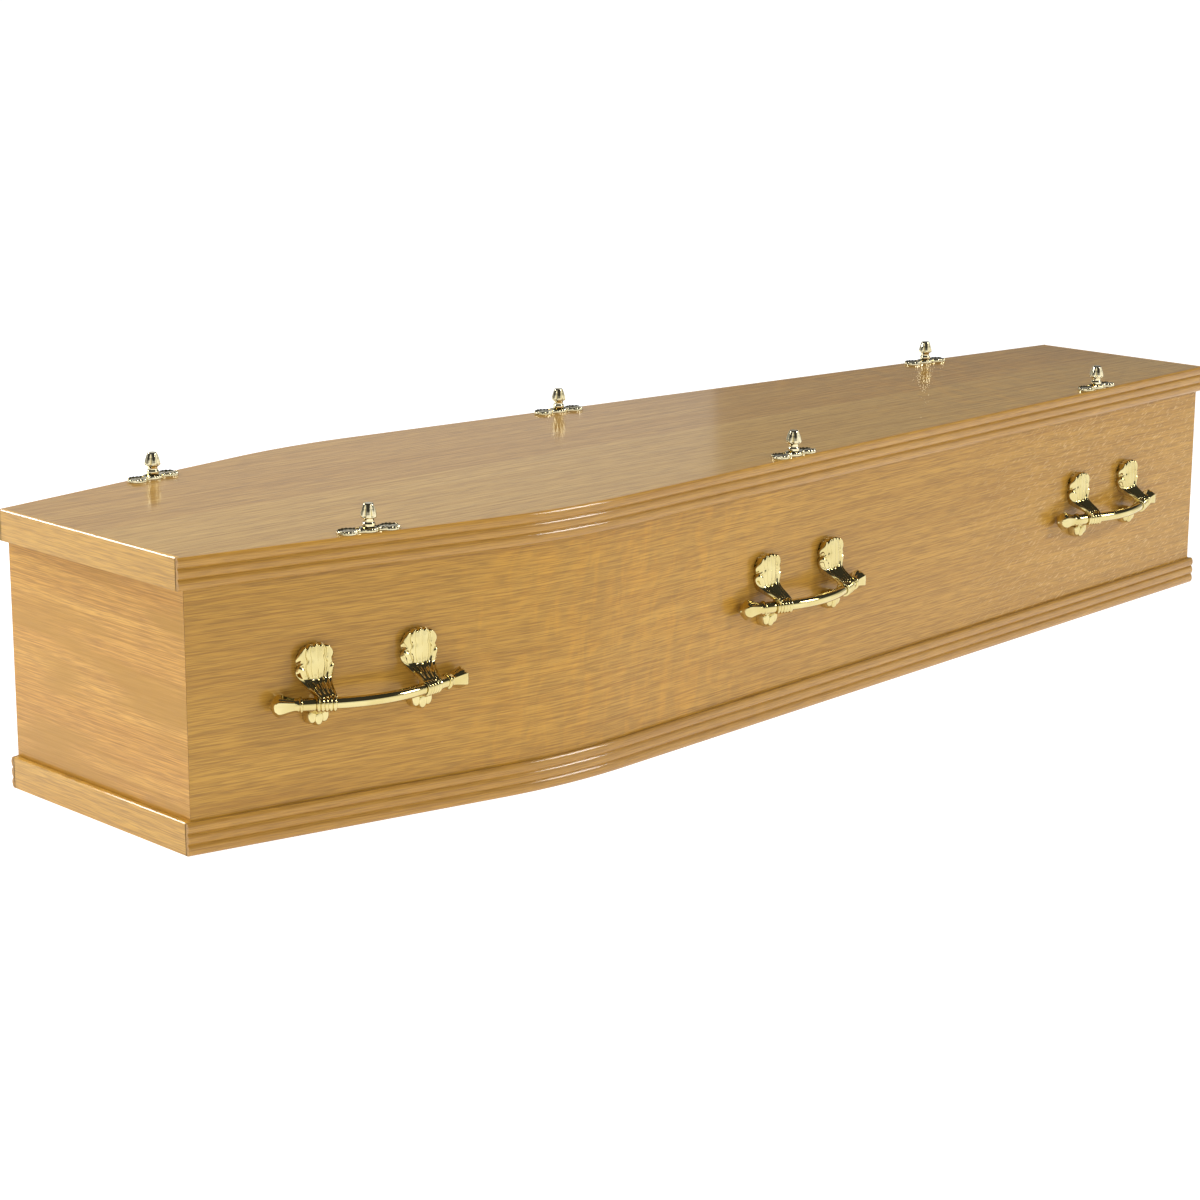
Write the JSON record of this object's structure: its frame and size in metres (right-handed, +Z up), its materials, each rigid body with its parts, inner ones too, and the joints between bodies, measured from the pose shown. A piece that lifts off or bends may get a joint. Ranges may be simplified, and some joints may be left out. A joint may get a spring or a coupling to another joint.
{
  "type": "coffin",
  "caption": "Shouldered oak-veneered coffin with a flat lift-off lid, beaded mouldings, bowed bar handles on leaf brackets, and ornamental lid screws on shell-ended plates.",
  "frame": {"origin": "on the floor, under the middle of the coffin's bounding box", "axes": "+X runs along the coffin from its head end to its foot end, +Z is up, and +Y is the left side of someone lying in it face up"},
  "size_m": [1.9316, 0.5636, 0.3705],
  "materials": {
    "oak_veneer": "satin lacquered oak veneer",
    "oak_moulding": "satin lacquered oak-finish moulding",
    "handle_brass": "polished brass",
    "screw_plate": "bright pale gold plate"
  },
  "bodies": {
    "root": {"base_board": "oak_veneer", "side_panel_left": "oak_veneer", "side_panel_right": "oak_veneer", "head_panel": "oak_veneer", "foot_panel": "oak_veneer", "lid_board": "oak_veneer", "base_moulding_left": "oak_moulding", "base_moulding_right": "oak_moulding", "base_moulding_head": "oak_moulding", "base_moulding_foot": "oak_moulding", "lid_moulding_left": "oak_moulding", "lid_moulding_right": "oak_moulding", "lid_moulding_head": "oak_moulding", "lid_moulding_foot": "oak_moulding", "handle_bar_left_head": "handle_brass", "handle_bracket_left_head_1": "handle_brass", "handle_bracket_left_head_2": "handle_brass", "lid_plate_left_head": "screw_plate", "thumbscrew_left_head": "screw_plate", "handle_bar_left_middle": "handle_brass", "handle_bracket_left_middle_1": "handle_brass", "handle_bracket_left_middle_2": "handle_brass", "lid_plate_left_middle": "screw_plate", "thumbscrew_left_middle": "screw_plate", "handle_bar_left_foot": "handle_brass", "handle_bracket_left_foot_1": "handle_brass", "handle_bracket_left_foot_2": "handle_brass", "lid_plate_left_foot": "screw_plate", "thumbscrew_left_foot": "screw_plate", "handle_bar_right_head": "handle_brass", "handle_bracket_right_head_1": "handle_brass", "handle_bracket_right_head_2": "handle_brass", "lid_plate_right_head": "screw_plate", "thumbscrew_right_head": "screw_plate", "handle_bar_right_middle": "handle_brass", "handle_bracket_right_middle_1": "handle_brass", "handle_bracket_right_middle_2": "handle_brass", "lid_plate_right_middle": "screw_plate", "thumbscrew_right_middle": "screw_plate", "handle_bar_right_foot": "handle_brass", "handle_bracket_right_foot_1": "handle_brass", "handle_bracket_right_foot_2": "handle_brass", "lid_plate_right_foot": "screw_plate", "thumbscrew_right_foot": "screw_plate"}
  },
  "joints": []
}
